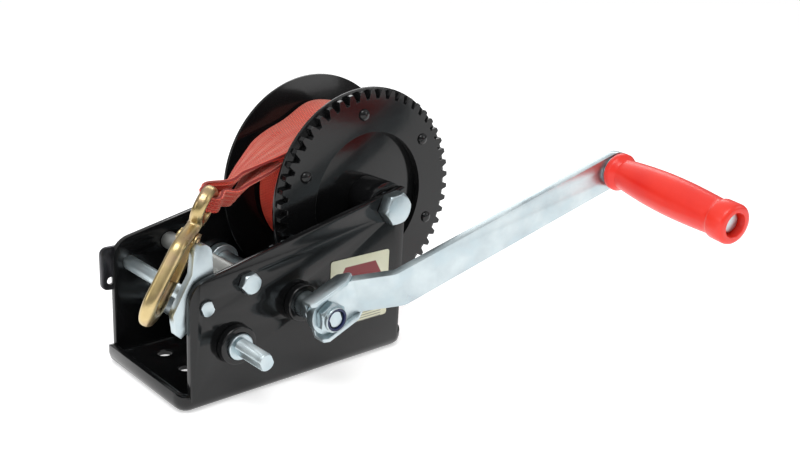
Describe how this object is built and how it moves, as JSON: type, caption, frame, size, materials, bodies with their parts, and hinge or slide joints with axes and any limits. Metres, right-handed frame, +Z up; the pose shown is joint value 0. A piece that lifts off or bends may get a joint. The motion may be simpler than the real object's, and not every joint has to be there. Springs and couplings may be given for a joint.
{
  "type": "boat trailer winch",
  "caption": "Hand winch for a boat trailer: pressed black frame, geared strap drum, long crank with red grip, red webbing and a yellow snap hook.",
  "frame": {"origin": "middle of the flat underside of the base", "axes": "+X from the strap end to the drum end, +Y away from the crank side, +Z up from the base"},
  "size_m": [0.3307, 0.323, 0.1915],
  "materials": {
    "black_paint": "gloss black powder paint",
    "zinc_plate": "bright zinc plate",
    "grey_zinc": "dull zinc plate",
    "yellow_zinc": "yellow passivated zinc plate",
    "dark_steel": "dark oiled steel",
    "red_plastic": "smooth moulded plastic",
    "red_webbing": "woven webbing",
    "blue_nylon": "dark blue nylon",
    "label_paper": "printed cream film"
  },
  "bodies": {
    "winch_frame": {"frame": "black_paint", "side_tab": "dark_steel", "label": "label_paper", "front_rod": "zinc_plate", "spacer_tube": "grey_zinc", "spacer_bolt": "zinc_plate", "spacer_nut": "zinc_plate", "axle_sleeve": "zinc_plate", "axle_bolt": "zinc_plate", "axle_nut": "zinc_plate", "crank_bush_near": "black_paint", "crank_bush_far": "black_paint", "low_bush_near": "black_paint", "low_bush_far": "black_paint", "pawl_spring": "dark_steel", "strap_run": "red_webbing"},
    "drum": {"flange_near": "black_paint", "flange_far": "black_paint", "drum_core": "black_paint", "hub_near": "black_paint", "hub_far": "black_paint", "drum_gear": "black_paint", "strap_coil": "red_webbing", "gear_rivet_1": "black_paint", "gear_rivet_2": "black_paint", "gear_rivet_3": "black_paint", "gear_rivet_4": "black_paint", "gear_rivet_5": "black_paint", "gear_rivet_6": "black_paint"},
    "crank": {"crank_shaft": "zinc_plate", "shaft_collar": "zinc_plate", "crank_circlip": "dark_steel", "drive_pinion": "zinc_plate", "intermediate_gear": "zinc_plate", "crank_bracket": "zinc_plate", "crank_arm": "zinc_plate", "crank_nut": "zinc_plate", "nut_ring": "blue_nylon", "grip_pin": "zinc_plate", "grip_washer": "zinc_plate"},
    "low_gear": {"low_shaft": "zinc_plate", "low_pinion": "zinc_plate", "low_circlip": "dark_steel"},
    "grip": {"grip": "red_plastic"},
    "pawl": {"pawl": "zinc_plate"},
    "hook": {"hook_body": "yellow_zinc", "latch_rivet": "yellow_zinc", "latch_spring": "dark_steel"},
    "latch": {"hook_latch": "yellow_zinc"}
  },
  "joints": [
    {"name": "drum_spin", "type": "hinge", "parent": "winch_frame", "child": "drum", "pos_m": [0.0735, 0, 0.1115], "axis": [0, 1, 0], "continuous": true},
    {"name": "crank_spin", "type": "hinge", "parent": "winch_frame", "child": "crank", "pos_m": [-0.00429, 0, 0.05784], "axis": [0, 1, 0], "continuous": true},
    {"name": "low_shaft_spin", "type": "hinge", "parent": "winch_frame", "child": "low_gear", "pos_m": [-0.0555, 0, 0.0407], "axis": [0, 1, 0], "continuous": true},
    {"name": "grip_spin", "type": "hinge", "parent": "crank", "child": "grip", "pos_m": [0.20309, -0.14648, 0.14247], "axis": [-0.1988, -0.9767, -0.0811], "continuous": true},
    {"name": "pawl_rock", "type": "hinge", "parent": "winch_frame", "child": "pawl", "pos_m": [-0.0755, 0, 0.069], "axis": [0, 1, 0], "range_deg": [0, 25.5]},
    {"name": "hook_swing", "type": "hinge", "parent": "winch_frame", "child": "hook", "pos_m": [-0.0607, -0.0245, 0.1255], "axis": [-0.6065, 0.7201, 0.3371], "range_deg": [0, 70]},
    {"name": "latch_press", "type": "hinge", "parent": "hook", "child": "latch", "pos_m": [-0.07357, -0.02675, 0.10716], "axis": [-0.6065, 0.7201, 0.3371], "range_deg": [0, 22], "stiffness_Nm_per_rad": 0.02, "springref_deg": -17.19}
  ],
  "couplings": [
    {"joint": "crank_spin", "follows": "drum_spin", "ratio": -4.25},
    {"joint": "low_shaft_spin", "follows": "drum_spin", "ratio": 8.5}
  ]
}
